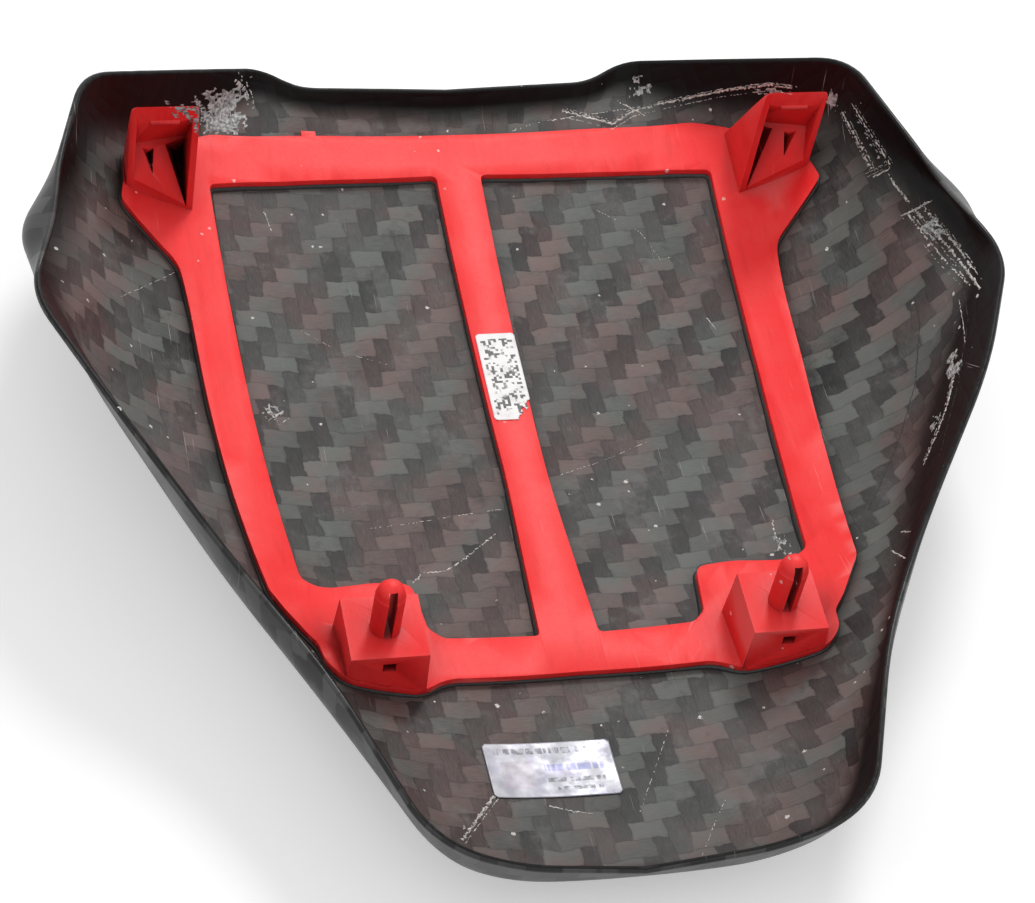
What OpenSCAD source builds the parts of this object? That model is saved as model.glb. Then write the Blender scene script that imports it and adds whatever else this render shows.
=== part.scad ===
// Motorcycle headlight fairing seen from its inner side: a carbon fibre laminate dish
// with one red moulded bracket frame bonded inside it and two stickers.
// It lies on its convex outer face, inner side up (+Z), upper edge towards +Y, mirror plane x = 0.
// The origin is under the middle of its outline, on the ground. All sizes are in millimetres.
// Distances along the part are counted from the middle of the bracket frame.

/* [Laminate dish] */
// Laminate thickness
laminate = 1.8; // [1:0.1:3]
// Height of the floor at the middle of one side, 100 mm out, from the gentle part of the curve
side_rise_soft = 4.5; // [0:0.1:15]
// Share of the side rise that comes from the tight part of the curve
side_rise_tight = 6; // [0:0.1:12]
// Height of the floor 100 mm up or down from the middle
length_rise = 6.3; // [0:0.1:15]
// How much the sides close in towards the narrow lower end
lower_closing = 0.8; // [0:0.05:1.2]
// Rounding from the floor into the perimeter wall
wall_fillet = 5; // [3:0.5:6]
// Outward swell of the wall at the ears, just above the side tips
ear_swell = 11; // [0:0.5:13]

/* [Rim of the dish: half width, distance along, height] */
// Middle of the upper edge
rim_top = [0, 117.3, 19.8]; // [-200:0.1:200]
// End of the dip in the upper edge
rim_dip = [46.1, 119.5, 20.1]; // [-200:0.1:200]
// Inner end of the shoulder
rim_shoulder = [56.9, 125, 23.5]; // [-200:0.1:200]
// Outer corner of the shoulder
rim_corner = [113.2, 89.5, 55.1]; // [-200:0.1:200]
// Side edge below the shoulder
rim_flank = [122.6, 57.1, 54]; // [-200:0.1:200]
// Ear
rim_ear = [126.7, 33.3, 55.5]; // [-200:0.1:200]
// Side tip
rim_tip = [134.5, 1.8, 60.2]; // [-200:0.1:200]
// Side edge below the tip
rim_cheek = [117.3, -36.9, 58.9]; // [-200:0.1:200]
// Upper end of the waist
rim_waist_top = [89.7, -79.1, 42.1]; // [-200:0.1:200]
// Lower end of the waist
rim_waist_low = [71.5, -112.2, 39.8]; // [-200:0.1:200]
// Lower corner
rim_jaw = [54.1, -162.2, 39.9]; // [-200:0.1:200]
// Outer end of the lower edge
rim_chin_side = [31.4, -164.2, 30]; // [-200:0.1:200]
// Middle of the lower edge
rim_chin = [0, -162.4, 21.8]; // [-200:0.1:200]

/* [Bracket frame] */
// Thickness of the bars
bar_thickness = 2.2; // [1.5:0.1:4]
// Bond gap between the frame and the laminate
bond_gap = 0.45; // [0.35:0.05:0.6]
// Upper edge of the top bar at the middle
frame_top = 105.5; // [95:0.5:110]
// Width of the top bar at the middle
top_bar_width = 15; // [8:0.5:20]
// Lower edge of the bottom bar at the middle
frame_bottom = -93.6; // [-105:0.1:-85]
// Width of the bottom bar at the middle
bottom_bar_width = 13.4; // [8:0.1:20]
// Half width of the frame at the middle of the side bars
frame_half_width = 87; // [75:0.5:95]
// Width of the side bars
side_bar_width = 12.4; // [8:0.1:18]
// Width of the centre bar
centre_bar_width = 13; // [8:0.5:20]
// Taper of each side bar from its upper to its lower end
side_bar_taper = 5.5; // [0:0.5:10]

/* [Upper hooded sockets] */
// Centre of a socket from the mirror plane
hood_offset = 92.8; // [85:0.1:98]
// Width over the side walls
hood_width = 19.4; // [14:0.1:24]
// Open face of the socket along the part
hood_front = 72.5; // [65:0.5:80]
// Height of the front edge of the roof
hood_top = 58.5; // [50:0.5:65]
// Length of the inner side wall
hood_inner_length = 23.5; // [18:0.5:24]
// Length of the outer side wall
hood_outer_length = 11.5; // [8:0.5:12]
// Wall of the socket
hood_wall = 1.9; // [1.2:0.1:3]
// Thickness of the front edge of the roof
hood_lip = 2.2; // [1.5:0.1:3]
// Length of the catch under the roof
catch_length = 8.2; // [4:0.1:10]
// Diameter of the catch under the roof
catch_diameter = 2.6; // [1.6:0.1:3.4]
// Width of the inner well beside the tongue, at its top
well_width = 6.4; // [2:0.1:7]

/* [Lower platforms and split pins] */
// Pin axis from the mirror plane
pin_offset = 53.4; // [50:0.1:56]
// Pin axis along the part
pin_along = -88.2; // [-90:0.1:-86]
// Height of the platform top
platform_height = 26.5; // [23:0.5:32]
// Platform top across the part
platform_width = 20.4; // [16:0.1:22]
// Platform top along the part
platform_length = 19.7; // [16:0.1:21]
// Draft of the platform walls, as extra half width at the foot
platform_draft = 0.6; // [0:0.1:1.5]
// Wall of the hollow platform
platform_wall = 2; // [1.2:0.1:3]
// Pin shank diameter
pin_diameter = 8; // [5:0.1:10]
// Pin height over the platform
pin_height = 17.8; // [15:0.1:20]
// Width of the slot that lets the pin flex
pin_slot = 2.2; // [1:0.1:2.8]
// Width and height of the hole in the front wall
core_hole = 3.4; // [2:0.1:6]

/* [Stickers] */
// Sticker thickness
label_thickness = 0.2; // [0.1:0.05:0.4]
// Clearance under a sticker
label_gap = 0.15; // [0.15:0.05:0.3]
// Code sticker on the centre bar: width and length
code_label = [11.6, 32.5]; // [5:0.1:50]
// Centre of the code sticker along the part
code_label_along = 14; // [-40:0.5:60]
// Data sticker on the laminate: width and length
data_label = [34, 18]; // [5:0.5:60]
// Centre of the data sticker
data_label_centre = [-14, -124]; // [-150:0.5:150]

/* [Hidden] */
$fn = 64;

half_stations = 52;
floor_rings = 16;
hub = [0, -8];

// Heights.
// Inner surface of the dish: an even bowl that tightens towards the sides and the lower end.
function floor_z(x, y) =
    let (v = y / 100, u = x * x / 10000 * (1 + lower_closing * pow(min(v, 0), 2)))
    laminate
        + side_rise_soft * u
        + side_rise_tight * (u * u + u * u * u)
        + 0.5 * v
        + length_rise * v * v
        + 1.2 * v * v * v
        + 3 * u * v * v;

function bar_top(x, y) = floor_z(x, y) + bond_gap + bar_thickness;

// Small helpers.
function unit(v) = v / norm(v);
function mix(a, b, t) = a + (b - a) * t;
function bezier(a, b, c, t) = mix(mix(a, b, t), mix(b, c, t), t);
function flat(lists) = [for (l = lists) each l];
function mirrored(p) = [-p[0], p[1], p[2], p[3], p[4]];

// Corner b of a polyline replaced by a curve that starts and ends at the distance cut from it.
function rounded_corner(a, b, c, cut, steps) =
    let (
        start = b + cut * (a - b) / norm([a[0] - b[0], a[1] - b[1]]),
        end = b + cut * (c - b) / norm([c[0] - b[0], c[1] - b[1]])
    )
    [for (i = [0:steps]) bezier(start, b, end, i / steps)];

function running_length(path) =
    [for (i = 0, total = 0; i < len(path);
        total = total + (i + 1 < len(path) ? norm(path[i + 1] - path[i]) : 0), i = i + 1) total];

// Rim.
// Each row: point, how far the wall leans out, its outward swell, rounding of the corner.
rim_rows = [
    [rim_top, 2, 0, 0],
    [rim_dip, 2.5, 0, 6],
    [rim_shoulder, 3.5, 0, 6],
    [rim_corner, 5, 0.8, 9],
    [rim_flank, 5.4, ear_swell * 0.3, 8],
    [rim_ear, 6, ear_swell, 8],
    [rim_tip, 6.4, -1.3, 9],
    [rim_cheek, 10.8, -1.1, 14],
    [rim_waist_top, 2, 1.2, 18],
    [rim_waist_low, -1.3, 0.3, 16],
    [rim_jaw, 5.1, 0, 14],
    [rim_chin_side, 5, 0, 8],
    [rim_chin, 5, 0, 0]
];
rim_keys = [for (r = rim_rows) [r[0][0], r[0][1], r[0][2], r[1], r[2]]];
last_row = len(rim_rows) - 1;
half_path = flat([
    [rim_keys[0]],
    flat([for (i = [1:last_row - 1])
        rounded_corner(rim_keys[i - 1], rim_keys[i], rim_keys[i + 1], rim_rows[i][3], 8)]),
    [rim_keys[last_row]]
]);
half_lengths = running_length(half_path);
half_total = half_lengths[len(half_lengths) - 1];
function on_half(s) =
    [for (axis = [0:4]) lookup(s, [for (i = [0:len(half_path) - 1]) [half_lengths[i], half_path[i][axis]]])];

right_side = [for (i = [0:half_stations]) on_half(half_total * i / half_stations)];
rim = concat(right_side, [for (i = [1:half_stations - 1]) mirrored(right_side[half_stations - i])]);
stations = len(rim);

function outward(i) =
    let (a = rim[(i + stations - 1) % stations], b = rim[(i + 1) % stations])
    unit([a[1] - b[1], b[0] - a[0]]);

// Foot of the wall: the rim moved inwards by the flare, down on the floor surface.
function foot_xy(i) = [rim[i][0], rim[i][1]] - rim[i][3] * outward(i);
function on_floor(p) = [p[0], p[1], floor_z(p[0], p[1])];

// One point of the inner surface: ring 1 to floor_rings on the floor, then the fillet, then the wall.
fillet_rings = 4;
wall_rings = 3;
rings = floor_rings + fillet_rings + wall_rings;
fillet_share = 0.4;
function dish_point(ring, i) =
    let (
        foot = foot_xy(i),
        reach = 1 - wall_fillet / norm(foot - hub),
        foot_point = on_floor(foot),
        rim_point = [rim[i][0], rim[i][1], rim[i][2]],
        n = [outward(i)[0], outward(i)[1], 0]
    )
    ring <= floor_rings
        ? on_floor(mix(hub, foot, reach * pow(ring / floor_rings, 0.75)))
        : ring <= floor_rings + fillet_rings
            ? let (t = (ring - floor_rings) / fillet_rings)
                bezier(on_floor(mix(hub, foot, reach)), foot_point, mix(foot_point, rim_point, fillet_share), t)
                    + rim[i][4] * sin(180 * fillet_share * t * t) * n
            : let (v = fillet_share + (1 - fillet_share) * (ring - floor_rings - fillet_rings) / wall_rings)
                mix(foot_point, rim_point, v) + rim[i][4] * sin(180 * v) * n;

inner = [for (ring = [1:rings]) [for (i = [0:stations - 1]) dish_point(ring, i)]];
hub_point = on_floor(hub);

function inner_normal(k, i) =
    let (
        before = inner[k][(i + stations - 1) % stations],
        after = inner[k][(i + 1) % stations],
        low = k == 0 ? hub_point : inner[k - 1][i],
        high = k == rings - 1 ? inner[k][i] : inner[k + 1][i]
    )
    unit(cross(after - before, high - low));

outer = [for (k = [0:rings - 1]) [for (i = [0:stations - 1]) inner[k][i] - laminate * inner_normal(k, i)]];

// Moves everything so that the origin comes under the middle of the outline.
outer_along = flat([for (row = outer) [for (p = row) p[1]]]);
origin_shift = -(min(outer_along) + max(outer_along)) / 2;

module laminate_dish() {
    count = rings * stations;
    points = concat(flat(inner), flat(outer), [hub_point, hub_point - [0, 0, laminate]]);
    inner_quads = flat([for (k = [0:rings - 2]) flat([for (i = [0:stations - 1])
        let (a = k * stations + i, b = k * stations + (i + 1) % stations, c = a + stations, d = b + stations)
        [[a, c, d], [a, d, b]]])]);
    inner_fan = [for (i = [0:stations - 1]) [2 * count, i, (i + 1) % stations]];
    rim_quads = flat([for (i = [0:stations - 1])
        let (a = count - stations + i, b = count - stations + (i + 1) % stations)
        [[a, a + count, b + count], [a, b + count, b]]]);
    outer_quads = [for (f = inner_quads) [f[0] + count, f[2] + count, f[1] + count]];
    outer_fan = [for (f = inner_fan) [2 * count + 1, f[2] + count, f[1] + count]];
    color([0.12, 0.12, 0.13])
        translate([0, origin_shift, 0])
            polyhedron(points, concat(inner_quads, inner_fan, rim_quads, outer_quads, outer_fan), convexity = 6);
}

// Sheet that follows the dish.
// Solid between two offsets from the dish floor over a rectangle, in nx by ny cells.
module following_sheet(low, high, x0, x1, y0, y1, nx, ny) {
    row = nx + 1;
    layer = row * (ny + 1);
    grid = [for (j = [0:ny]) each [for (i = [0:nx]) [mix(x0, x1, i / nx), mix(y0, y1, j / ny)]]];
    points = concat(
        [for (p = grid) [p[0], p[1], floor_z(p[0], p[1]) + low]],
        [for (p = grid) [p[0], p[1], floor_z(p[0], p[1]) + high]]
    );
    cells = flat([for (j = [0:ny - 1]) [for (i = [0:nx - 1]) j * row + i]]);
    bottom = flat([for (a = cells) [[a, a + 1, a + row + 1], [a, a + row + 1, a + row]]]);
    top = [for (f = bottom) [f[0] + layer, f[2] + layer, f[1] + layer]];
    border = concat(
        [for (i = [0:nx]) i],
        [for (j = [1:ny]) j * row + nx],
        [for (i = [1:nx]) ny * row + nx - i],
        [for (j = [1:ny - 1]) (ny - j) * row]
    );
    sides = flat([for (k = [0:len(border) - 1])
        let (a = border[k], b = border[(k + 1) % len(border)])
        [[a, a + layer, b + layer], [a, b + layer, b]]]);
    polyhedron(points, concat(bottom, top, sides), convexity = 4);
}

// Frame plan.
// Polygon with rounded corners; each row is x, y and the distance of the rounding from the corner.
function rounded_outline(rows) =
    let (n = len(rows))
    flat([for (i = [0:n - 1])
        let (
            a = rows[(i + n - 1) % n],
            b = rows[i],
            c = rows[(i + 1) % n]
        )
        b[2] == 0
            ? [[b[0], b[1]]]
            : rounded_corner([a[0], a[1]], [b[0], b[1]], [c[0], c[1]], b[2], 4)]);

window_side = frame_half_width - side_bar_width;
window_top = frame_top - top_bar_width;
window_bottom = frame_bottom + bottom_bar_width;
pad_inner = pin_offset - platform_width / 2 - 5;
pad_top = pin_along + 27.5;
platform_foot = pin_along - platform_length / 2 - platform_draft - 0.3;
hood_in = hood_offset - hood_width / 2;
hood_out = hood_offset + hood_width / 2;

// Right half of the outer edge, from the middle of the top bar round to the bottom bar.
half_outer = [
    [0, frame_top, 0],
    [45, frame_top - 0.3, 10],
    [75, frame_top - 3.8, 4],
    [hood_in + 1.2, hood_front + hood_inner_length + 0.4, 1.5],
    [hood_out, hood_front + hood_outer_length + 0.3, 1.5],
    [hood_out + 0.6, hood_front + 2.5, 1],
    [hood_out + 2.2, hood_front - 6, 1.5],
    [frame_half_width + 2.4, 51.5, 4],
    [frame_half_width + 1, 37, 8],
    [frame_half_width, 5, 12],
    [frame_half_width - side_bar_taper * 0.45, -30, 10],
    [frame_half_width - side_bar_taper + 0.6, -54, 4],
    [frame_half_width - side_bar_taper - 1.2, -70.5, 2],
    [pin_offset + 19.8, -83, 2],
    [pin_offset + 16.4, -87.3, 1.5],
    [pin_offset + 15.6, -94, 2.5],
    [pin_offset + 11.8, platform_foot, 3],
    [pin_offset - 10.2, platform_foot, 3],
    [pin_offset - 17, frame_bottom - 0.8, 4],
    [0, frame_bottom, 0]
];

// Right window, from its upper inner corner outwards and round.
half_window = [
    [centre_bar_width / 2 + 0.3, window_top, 2],
    [44, window_top - 1.6, 8],
    [67, window_top - 4.4, 5],
    [window_side + 2.2, window_top - 7, 2],
    [window_side + 1.2, 42, 8],
    [window_side, 5, 10],
    [window_side - side_bar_taper * 0.36, -30, 8],
    [window_side - side_bar_taper * 0.8, pad_top - 0.6, 2],
    [window_side - side_bar_taper * 0.8 - 4, pad_top - 2.9, 1.6],
    [62.8, pad_top - 2.8, 1.6],
    [50, pad_top + 0.4, 4],
    [pad_inner + 1.5, pad_top, 3],
    [pad_inner - 0.2, window_bottom + 3.5, 1.5],
    [pad_inner - 3.8, window_bottom, 1.2],
    [centre_bar_width / 2 + 1.6, window_bottom - 0.3, 1.6],
    [centre_bar_width / 2 - 0.6, -25, 10]
];

module frame_plan() {
    difference() {
        union() {
            polygon(rounded_outline(concat(
                half_outer,
                [for (i = [len(half_outer) - 2:-1:1]) [-half_outer[i][0], half_outer[i][1], half_outer[i][2]]]
            )));
            // gate mark on the top bar
            translate([-44, frame_top])
                square([4.4, 2.4], center = true);
        }
        for (side = [0, 1])
            mirror([side, 0])
                polygon(rounded_outline(half_window));
    }
}

// Upper sockets.
// Six-sided wedge: open face at the front, roof falling to the back, foot inside the bar sheet.
module wedge(p) {
    polyhedron(p, [
        [0, 3, 2], [0, 2, 1],
        [0, 4, 3],
        [1, 2, 5],
        [3, 4, 5], [3, 5, 2],
        [0, 1, 5], [0, 5, 4]
    ]);
}

seat_depth = bond_gap + 0.6 * bar_thickness;

// Box with an open front, a roof that falls to the back, and a tongue that ramps up inside it
// between two wells.
module hood() {
    back_in = hood_front + hood_inner_length;
    back_out = hood_front + hood_outer_length;
    foot_in = bar_top(hood_in, hood_front);
    foot_out = bar_top(hood_out, hood_front);
    slope_in = (hood_top - floor_z(hood_in, back_in)) / hood_inner_length;
    slope_out = (hood_top - floor_z(hood_out, back_out)) / hood_outer_length;
    drop_in = hood_wall * norm([1, slope_in]);
    drop_out = hood_wall * norm([1, slope_out]);
    ramp_share = 0.42;
    ramp_in = ramp_share * hood_inner_length;
    ramp_out = ramp_share * hood_outer_length;
    deep_in = hood_top - slope_in * ramp_in - drop_in;
    deep_out = hood_top - slope_out * ramp_out - drop_out;
    end_in = (hood_top - drop_in - bar_top(hood_in, back_in) - 1) / slope_in;
    end_out = (hood_top - drop_out - bar_top(hood_out, back_out) - 1) / slope_out;
    x_in = hood_in + hood_wall;
    x_out = hood_out - hood_wall;
    under_lip = hood_top - hood_lip;
    cut = 1.5;
    // the box starts this far under the floor and is trimmed to the bar
    sunk = 4;
    difference() {
        intersection() {
            wedge([
                [hood_in, hood_front, floor_z(hood_in, hood_front) - sunk],
                [hood_out, hood_front, floor_z(hood_out, hood_front) - sunk],
                [hood_out, hood_front, hood_top],
                [hood_in, hood_front, hood_top],
                [hood_in, back_in + sunk / slope_in, floor_z(hood_in, back_in) - sunk],
                [hood_out, back_out + sunk / slope_out, floor_z(hood_out, back_out) - sunk]
            ]);
            following_sheet(seat_depth, hood_top, hood_in - 1, hood_out + 1, hood_front - 1, back_in + 3, 6, 8);
            along_y(hood_front - 1, back_in + 1)
                polygon(rounded_outline([
                    [hood_in - 1, 0, 0],
                    [hood_out + 1, 0, 0],
                    [hood_out - 0.2, hood_top, 2.2],
                    [hood_in + 0.2, hood_top, 2.2]
                ]));
        }
        // hollow in front of the ramp
        wedge([
            [x_in, hood_front - cut, foot_in - 0.6],
            [x_out, hood_front - cut, foot_out - 0.6],
            [x_out, hood_front - cut, under_lip],
            [x_in, hood_front - cut, under_lip],
            [x_in, hood_front + ramp_in, deep_in],
            [x_out, hood_front + ramp_out, deep_out]
        ]);
        // wells beside the tongue, down to the bar
        intersection() {
            wedge([
                [x_in, hood_front - cut, foot_in + 0.4],
                [x_out, hood_front - cut, foot_out + 0.4],
                [x_out, hood_front - cut, under_lip],
                [x_in, hood_front - cut, under_lip],
                [x_in, hood_front + end_in, bar_top(x_in, hood_front + end_in) + 0.4],
                [x_out, hood_front + end_out, bar_top(x_out, hood_front + end_out) + 0.4]
            ]);
            along_y(hood_front - cut, back_in) {
                polygon([
                    [x_in, foot_in + 1.5],
                    [x_in + well_width, deep_in],
                    [x_in + well_width, deep_in + 4],
                    [x_in, deep_in + 4]
                ]);
                polygon([
                    [hood_offset + 2.2, deep_out - 9.5],
                    [x_out - 1.9, deep_out],
                    [x_out - 1.9, deep_out + 4],
                    [hood_offset + 1.4, deep_out + 4]
                ]);
            }
        }
    }
    // catch under the lip
    translate([hood_offset - catch_length / 2, hood_front + 1, hood_top - 6])
        rotate([0, 90, 0])
            cylinder(d = catch_diameter, h = catch_length, $fn = 12);
}

// Front view outline drawn out from one distance along the part to another.
module along_y(from, to) {
    translate([0, to, 0])
        rotate([90, 0, 0])
            linear_extrude(height = to - from)
                children();
}

// Lower platforms.
module platform_block(shrink, foot_lift) {
    half_x = platform_width / 2 - shrink;
    half_y = platform_length / 2 - shrink;
    corners = [[-1, -1], [1, -1], [1, 1], [-1, 1]];
    top = [for (c = corners) [pin_offset + c[0] * half_x, pin_along + c[1] * half_y, platform_height - shrink]];
    foot = [for (c = corners)
        let (
            x = pin_offset + c[0] * (half_x + platform_draft),
            y = pin_along + c[1] * (half_y + platform_draft)
        )
        [x, y, floor_z(x, y) + foot_lift]];
    polyhedron(concat(foot, top), [
        [0, 1, 2], [0, 2, 3],
        [4, 6, 5], [4, 7, 6],
        [0, 5, 1], [0, 4, 5],
        [1, 6, 2], [1, 5, 6],
        [2, 7, 3], [2, 6, 7],
        [3, 4, 0], [3, 7, 4]
    ]);
}

// Split pin: plain shank and domed head, cut by one slot that stays closed at the tip.
module split_pin() {
    shank = pin_diameter / 2;
    dome_start = pin_height - 4;
    dome = [for (a = [0:15:90]) [(shank - 0.3) * cos(a), dome_start + 4 * sin(a)]];
    difference() {
        rotate_extrude($fn = 48)
            polygon(concat([[0, -platform_wall / 2], [shank, -platform_wall / 2], [shank, dome_start - 0.4]], dome));
        translate([-pin_slot / 2, -shank - 1, -platform_wall])
            cube([pin_slot, pin_diameter + 2, pin_height - 1 + platform_wall]);
    }
}

module platform() {
    difference() {
        platform_block(0, seat_depth);
        platform_block(platform_wall, -0.5);
        translate([pin_offset - core_hole / 2, pin_along - platform_length / 2 - 2, platform_height - 5.6])
            cube([core_hole, platform_wall + 4, core_hole - 0.4]);
    }
    translate([pin_offset, pin_along, platform_height])
        split_pin();
}

module bracket_frame() {
    color([0.86, 0.1, 0.09])
        translate([0, origin_shift, 0]) {
            difference() {
                intersection() {
                    following_sheet(bond_gap, bond_gap + bar_thickness, -108, 108, -100, 110, 28, 28);
                    linear_extrude(height = 80)
                        frame_plan();
                }
                for (side = [0, 1])
                    mirror([side, 0, 0])
                        platform_block(platform_wall, -0.5);
            }
            for (side = [0, 1])
                mirror([side, 0, 0]) {
                    hood();
                    platform();
                }
        }
}

// Stickers.
module code_label() {
    base = bond_gap + bar_thickness + label_gap;
    color([0.93, 0.93, 0.92])
        translate([0.6, origin_shift, 0])
            following_sheet(base, base + label_thickness,
                -code_label[0] / 2, code_label[0] / 2,
                code_label_along - code_label[1] / 2, code_label_along + code_label[1] / 2, 2, 6);
}

module data_label() {
    color([0.72, 0.73, 0.76])
        translate([0, origin_shift, 0])
            following_sheet(label_gap, label_gap + label_thickness,
                data_label_centre[0] - data_label[0] / 2, data_label_centre[0] + data_label[0] / 2,
                data_label_centre[1] - data_label[1] / 2, data_label_centre[1] + data_label[1] / 2, 6, 4);
}

laminate_dish();
bracket_frame();
code_label();
data_label();
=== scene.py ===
import bmesh
import bpy
import numpy as np
from mathutils import Matrix, Vector
from mathutils.bvhtree import BVHTree


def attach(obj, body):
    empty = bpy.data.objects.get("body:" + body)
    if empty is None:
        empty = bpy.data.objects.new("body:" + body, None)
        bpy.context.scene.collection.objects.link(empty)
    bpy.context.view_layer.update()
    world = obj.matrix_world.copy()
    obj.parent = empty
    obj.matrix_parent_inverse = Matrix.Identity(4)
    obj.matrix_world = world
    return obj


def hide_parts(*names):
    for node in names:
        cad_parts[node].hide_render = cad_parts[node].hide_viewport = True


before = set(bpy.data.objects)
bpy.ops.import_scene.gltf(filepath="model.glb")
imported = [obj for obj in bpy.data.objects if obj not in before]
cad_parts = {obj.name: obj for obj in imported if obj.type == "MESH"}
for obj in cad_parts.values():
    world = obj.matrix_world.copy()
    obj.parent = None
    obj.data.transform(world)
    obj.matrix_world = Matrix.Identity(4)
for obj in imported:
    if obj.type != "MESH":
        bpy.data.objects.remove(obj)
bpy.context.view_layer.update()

mm = 0.001
scene = bpy.context.scene
scene.view_settings.view_transform = "Standard"
print("frame loaded")


# the camera comes first, because pixel paths are cast onto the surfaces later
photoCamera = {
    "position": (-187.809, -494.480, 604.382),
    "right": (0.97125128, -0.18897154, 0.14477811),
    "up": (0.05077792, 0.75862388, 0.64954708),
    "forward": (0.23257805, 0.6235219, -0.74641),
    "focalPixels": 2859.29,
    "frame": (1035, 903),
}


def makeCamera(s):
    data = bpy.data.cameras.new("photoCamera")
    data.sensor_width = 36.0
    data.lens = 36.0 * s["focalPixels"] / s["frame"][0]
    data.clip_start, data.clip_end = 0.01, 20.0
    cam = bpy.data.objects.new("photoCamera", data)
    scene.collection.objects.link(cam)
    turn = Matrix((s["right"], s["up"], [-c for c in s["forward"]])).transposed()
    cam.matrix_world = Matrix.Translation(Vector(s["position"]) * mm) @ turn.to_4x4()
    scene.camera = cam


makeCamera(photoCamera)


# mesh helpers
def gridFaces(rows, cols, closed=False):
    # quads of a grid of rows x cols points; closed joins the last column to the first
    r = np.arange(rows - 1)[:, None]
    c = np.arange(cols if closed else cols - 1)[None, :]
    nextC = (c + 1) % cols
    a = r * cols + c
    b = r * cols + nextC
    return np.stack([a, b, b + cols, a + cols], axis=-1).reshape(-1, 4)


def makePiece(name, points, faces, smooth=True, triangles=None):
    mesh = bpy.data.meshes.new(name)
    allFaces = [tuple(f) for f in faces.tolist()]
    if triangles is not None:
        allFaces += [tuple(f) for f in triangles.tolist()]
    mesh.from_pydata(points.reshape(-1, 3).tolist(), [], allFaces)
    mesh.validate()
    mesh.polygons.foreach_set("use_smooth", np.full(len(mesh.polygons), smooth))
    mesh.update()
    piece = bpy.data.objects.new(name, mesh)
    scene.collection.objects.link(piece)
    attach(piece, "root")
    return piece


def pointUv(piece, uv, layerName="weaveUv"):
    # one uv per point, copied to the corners of the faces
    mesh = piece.data
    layer = mesh.uv_layers.new(name=layerName)
    corner = np.empty(len(mesh.loops), dtype=np.int32)
    mesh.loops.foreach_get("vertex_index", corner)
    layer.data.foreach_set("uv", uv[corner].astype(np.float32).ravel())


def pointValue(piece, name, values):
    layer = piece.data.attributes.new(name, "FLOAT", "POINT")
    layer.data.foreach_set("value", values.astype(np.float32).ravel())


def unitRows(v):
    return v / np.maximum(np.linalg.norm(v, axis=-1, keepdims=True), 1e-12)


def softNoise(points, scale, seed):
    # sum of six sine waves in fixed directions, between about -1 and 1
    turn = np.random.default_rng(seed)
    ways = unitRows(turn.normal(size=(6, 3))) * turn.uniform(0.6, 1.7, (6, 1)) * scale
    starts = turn.uniform(0, 6.28, 6)
    return np.sin(points @ ways.T + starts).sum(-1) / 3.2


# laminate dish: the same floor and rim as the CAD, with a finer net
dishShape = {
    "hub": (0.0, -8.0),
    "shift": 20.61,
    "thickness": 1.8,
    "fillet": 5.0,
    "filletShare": 0.4,
    "halfStations": 208,
    "turnStations": 52,  # the outward way is taken over this coarser net
    "floorRings": 44,
    "ringCrowding": 0.75,  # below 1 the floor rings stand closer near the wall
    "filletRings": 14,
    "wallRings": 16,
    "rollSteps": 4,
    "rollHeight": 0.75,
    # x, y, z, lean, swell, cut of the rim from the top middle down the right side
    "rim": [
        (0, 117.3, 19.8, 2, 0, 0), (46.1, 119.5, 20.1, 2.5, 0, 6), (56.9, 125, 23.5, 3.5, 0, 6),
        (113.2, 89.5, 55.1, 5, 0.8, 9), (122.6, 57.1, 54, 5.4, 3.3, 8),
        (126.7, 33.3, 55.5, 6, 11, 8),
        (134.5, 1.8, 60.2, 6.4, -1.3, 9), (117.3, -36.9, 58.9, 10.8, -1.1, 14),
        (89.7, -79.1, 42.1, 2, 1.2, 18), (71.5, -112.2, 39.8, -1.3, 0.3, 16),
        (54.1, -162.2, 39.9, 5.1, 0, 14), (31.4, -164.2, 30, 5, 0, 8), (0, -162.4, 21.8, 5, 0, 0),
    ],
    "rimNick": 0.12,
}


def floorZ(x, y):
    # a bowl across that is tighter below the middle, with a slow rise towards both ends
    v = y / 100.0
    u = x * x / 1e4 * (1 + 0.8 * np.minimum(v, 0) ** 2)
    across = 4.5 * u + 6 * (u * u + u ** 3)
    return 1.8 + across + 0.5 * v + 6.3 * v * v + 1.2 * v ** 3 + 3 * u * v * v


def onFloor(xy):
    return np.concatenate([xy, floorZ(xy[..., 0], xy[..., 1])[..., None]], axis=-1)


def roundCorner(a, b, c, cut, steps):
    # quadratic curve that leaves both edges of a corner at the distance cut
    start = b + (a - b) * cut / np.linalg.norm((a - b)[:2])
    end = b + (c - b) * cut / np.linalg.norm((c - b)[:2])
    t = np.linspace(0, 1, steps + 1)[:, None]
    return (1 - t) ** 2 * start + 2 * t * (1 - t) * b + t * t * end


def rimLine(s):
    rows = np.array(s["rim"], dtype=float)
    keys, cuts = rows[:, :5], rows[:, 5]
    parts = [keys[:1]]
    for i in range(1, len(keys) - 1):
        parts.append(roundCorner(keys[i - 1], keys[i], keys[i + 1], cuts[i], 24))
    path = np.vstack(parts + [keys[-1:]])
    run = np.r_[0, np.cumsum(np.linalg.norm(np.diff(path, axis=0), axis=1))]
    t = np.linspace(0, run[-1], s["halfStations"] + 1)
    right = np.stack([np.interp(t, run, path[:, k]) for k in range(5)], axis=-1)
    left = right[1:-1][::-1] * np.array([-1, 1, 1, 1, 1])
    return np.vstack([right, left])


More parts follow.
